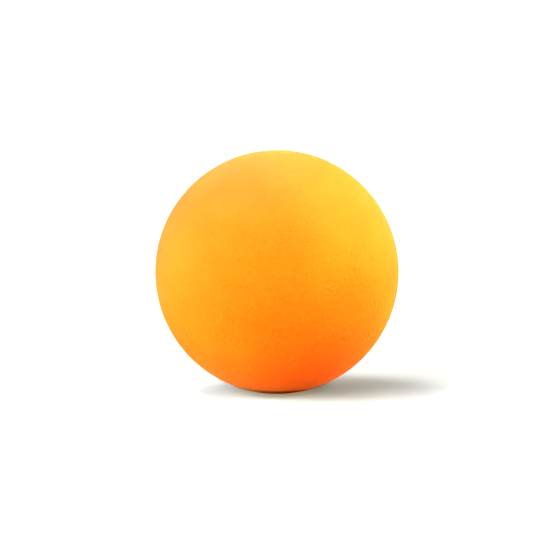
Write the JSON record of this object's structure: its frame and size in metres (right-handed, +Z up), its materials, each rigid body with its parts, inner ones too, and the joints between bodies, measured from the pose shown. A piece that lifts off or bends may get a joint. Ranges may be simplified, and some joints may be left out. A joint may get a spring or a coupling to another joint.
{
  "type": "table tennis ball",
  "caption": "Smooth matte orange table tennis ball: a sealed hollow sphere of thin half shells joined by a cemented lap seam.",
  "frame": {"origin": "centre of the ball", "axes": "+Z up, +Y along the seam's axis from the front half shell to the rear one; the seam lies in the XZ plane"},
  "size_m": [0.04, 0.04, 0.04],
  "materials": {
    "shell": "matte",
    "cement": "satin"
  },
  "bodies": {
    "root": {"front_half_shell": "shell", "rear_half_shell": "shell", "seam_cement": "cement"}
  },
  "joints": []
}
